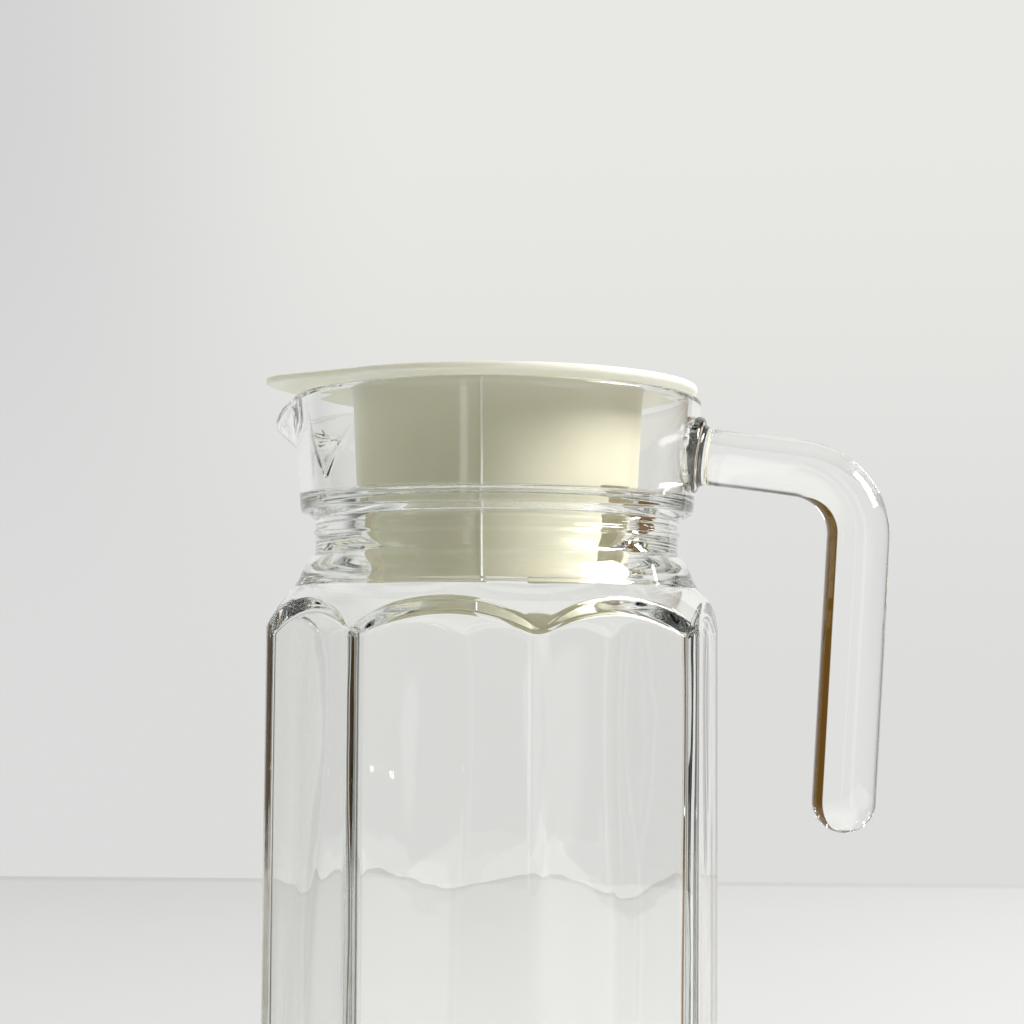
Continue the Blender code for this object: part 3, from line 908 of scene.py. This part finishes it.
def add_side_flags(tree, side, colour):
    """Darken what glass sees beyond the flags' angles; side is the angle from straight ahead."""
    colour = tree.mix(tree.ramp(side, *RIGHT_FLAG), colour, RIGHT_FLAG_BROWN)
    return tree.mix(tree.ramp(side, *LEFT_FLAG), colour, grey(LEFT_FLAG_GREY))


def floor_mesh():
    bm = bmesh.new()
    ring = []
    for i in range(FLOOR_STEPS):
        turn = 2 * pi * i / FLOOR_STEPS
        c, s = cos(turn), sin(turn)
        spread = abs(c) ** FLOOR_SQUARENESS + abs(s) ** FLOOR_SQUARENESS
        reach = FLOOR_HALF / spread ** (1 / FLOOR_SQUARENESS)
        ring.append(bm.verts.new((reach * c, reach * s, 0)))
    bm.faces.new(ring)
    mesh = bpy.data.meshes.new("floor")
    bm.to_mesh(mesh)
    bm.free()
    return mesh


def floor_material():
    """Pale floor with a fine painted shadow line at its far edge, where it meets the wall."""
    material, tree = new_material("pale_floor")
    place = tree.add("TexCoord").outputs["Object"]
    colour = tree.mix(tree.noise(place, 6.0, 3.0), *FLOOR_COLOURS)
    axes = tree.add("SeparateXYZ", Vector=place)
    across, away, _ = axes.outputs
    # painted shadow: a thin grey line along the far edge, where floor and wall meet
    edge_shadow = tree.ramp(away, FLOOR_HALF - FLOOR_EDGE_SHADOW[0], FLOOR_HALF - FLOOR_EDGE_SHADOW[1])
    colour = tree.mix(edge_shadow, colour, grey(FLOOR_EDGE_SHADOW_GREY))
    # far behind the jug, glass sees the floor's sides as dark as the flags above them
    flagged = add_side_flags(tree, tree.math("ARCTAN2", across, away), colour)
    reach = tree.add("VectorMath", {"operation": "LENGTH"})
    tree.feed(reach.inputs[0], place)
    far_behind = tree.product(tree.ramp(away, *FLOOR_FLAG_AWAY),
                              tree.ramp(reach.outputs["Value"], *FLOOR_FLAG_REACH))
    share = tree.product(tree.seen_in_glass(tree.add("LightPath")), far_behind)
    colour = tree.mix(share, colour, flagged)
    tree.surface("Material", tree.add("BsdfPrincipled", Base_Color=colour, Roughness=0.6))
    return material


def build_floor():
    floor = add_object("floor", floor_mesh())
    floor.rotation_euler.z = FLOOR_TURN
    floor.location.z = -FLOOR_DROP
    floor.data.materials.append(floor_material())


def add_windows(tree, side, rise, colour):
    """Bright panes behind the camera, for the glass to mirror."""
    for middle, half_width, bottom, top, glow in WINDOWS:
        inside = tree.ramp(tree.distance(side, radians(middle)), radians(half_width + WINDOW_SIDE_BLUR),
                           radians(half_width - WINDOW_SIDE_BLUR))
        above = tree.ramp(rise, radians(bottom - WINDOW_EDGE_BLUR), radians(bottom + WINDOW_EDGE_BLUR))
        below = tree.ramp(rise, radians(top + WINDOW_EDGE_BLUR), radians(top - WINDOW_EDGE_BLUR))
        colour = tree.mix(tree.product(inside, above, below), colour, grey(glow))
    return colour


def room_light(tree, place):
    """Soft light on everything that isn't glass: dull behind the camera and overhead."""
    facing = tree.add("VectorMath", {"operation": "DOT_PRODUCT"})
    tree.feed(facing.inputs[0], place)
    facing.inputs[1].default_value = direction(CAMERA_AZIMUTH + 180, 0)
    height = tree.add("SeparateXYZ", Vector=place).outputs["Z"]
    room = tree.mix(tree.ramp(facing.outputs["Value"], -0.3, 0.6), ROOM_SHADE, grey(ROOM_GREY))
    return tree.mix(tree.ramp(height, 0.3, 0.8), room, grey(ROOM_TOP_GREY))


def build_world():
    """A pale wall for the camera; glass also sees the flags, which draw its dark edges."""
    world = bpy.data.worlds.new("studio")
    bpy.context.scene.world = world
    world.use_nodes = True
    tree = Tree(world.node_tree)
    place = tree.add("TexCoord").outputs["Generated"]
    seen = tree.add("VectorTransform", {"vector_type": "VECTOR", "convert_from": "WORLD",
                                        "convert_to": "CAMERA"}, Vector=place)
    right, up, ahead = tree.add("SeparateXYZ", Vector=seen.outputs[0]).outputs
    side = tree.math("ARCTAN2", right, ahead)
    rise = tree.math("ARCSINE", up)

    # wall: brightest at the top, duller to the left and low down
    top = tree.ramp(rise, *WALL_CHANGE_UP)
    lit = tree.ramp(side, *WALL_CHANGE_ACROSS)
    wall = tree.mix(lit, tree.mix(top, *WALL_LEFT), tree.mix(top, *WALL_RIGHT))

    # glass sees the wall a little brighter, with the flags and windows around it
    share, glow = WALL_IN_GLASS
    brighter_wall = tree.mix(share, wall, grey(glow))
    glass_sees = add_side_flags(tree, side, brighter_wall)
    glass_sees = tree.mix(tree.ramp(ahead, *BEHIND_FLAG), glass_sees, grey(DARK_FLAG_GREY))
    glass_sees = tree.mix(tree.ramp(rise, *TOP_FLAG), glass_sees, grey(DARK_FLAG_GREY))
    glass_sees = add_windows(tree, side, rise, glass_sees)

    path = tree.add("LightPath")
    shown = tree.mix(tree.seen_in_glass(path), room_light(tree, place), glass_sees)
    shown = tree.mix(path.outputs["Is Camera Ray"], shown, wall)
    tree.surface("World", tree.add("Background", Color=shown))


def add_area_light(name, azimuth, elevation, distance, width, height, power, colour):
    """A rectangle of light aimed at the jug, which the camera itself doesn't see."""
    data = bpy.data.lights.new(name, "AREA")
    data.shape = "RECTANGLE"
    data.size = width
    data.size_y = height
    data.energy = power
    data.color = colour
    light = bpy.data.objects.new(name, data)
    bpy.context.scene.collection.objects.link(light)
    light.location = LIGHTS_AIM + direction(azimuth, elevation) * distance
    light.rotation_euler = (LIGHTS_AIM - light.location).to_track_quat("-Z", "Y").to_euler()
    light.visible_camera = False
    return light


def build_lights():
    """A key light that the glass shows, and a weak fill that it doesn't."""
    add_area_light("key_window", azimuth=CAMERA_AZIMUTH + 78, elevation=36, distance=2.8,
                   width=1.25, height=1.3, power=116.0, colour=(1.0, 0.97, 0.925))
    fill = add_area_light("fill_left", azimuth=CAMERA_AZIMUTH - 110, elevation=14, distance=1.5,
                          width=0.8, height=0.8, power=5.6, colour=(0.93, 1.0, 0.93))
    fill.visible_transmission = False
    fill.visible_glossy = False


def build_camera():
    """Level with the body's upper part, a little to the handle's side."""
    data = bpy.data.cameras.new("camera")
    data.lens = CAMERA_LENS
    data.sensor_width = 36.0
    data.clip_start = 0.01
    camera = bpy.data.objects.new("camera", data)
    bpy.context.scene.collection.objects.link(camera)
    place = direction(CAMERA_AZIMUTH, 0) * CAMERA_DISTANCE
    camera.location = (place.x, place.y, RIM_Z - CAMERA_BELOW_RIM)
    turn = Euler((radians(90 + CAMERA_PITCH), 0, radians(CAMERA_AZIMUTH - CAMERA_YAW))).to_matrix()
    roll = Matrix.Rotation(radians(CAMERA_ROLL), 3, "Z")
    camera.rotation_euler = (turn @ roll).to_euler()
    bpy.context.scene.camera = camera


def set_picture():
    """Plain colours, and enough bounces for light to leave the thick glass."""
    scene = bpy.context.scene
    scene.view_settings.view_transform = "Standard"
    scene.view_settings.look = "None"
    scene.cycles.max_bounces = 26
    scene.cycles.transmission_bounces = 26
    scene.cycles.glossy_bounces = 24
    scene.cycles.diffuse_bounces = 4
    scene.cycles.transparent_max_bounces = 32
    scene.cycles.use_denoising = True


glass = glass_material()
cap_plastic = plastic_material("cap_plastic", CAP_COLOURS, 0.8)
tube_plastic = plastic_material("tube_plastic", TUBE_COLOURS, 0.4, seam=True)
build_glass(glass)
build_plug(tube_plastic)
build_cap(cap_plastic)
build_floor()
build_world()
build_lights()
build_camera()
set_picture()
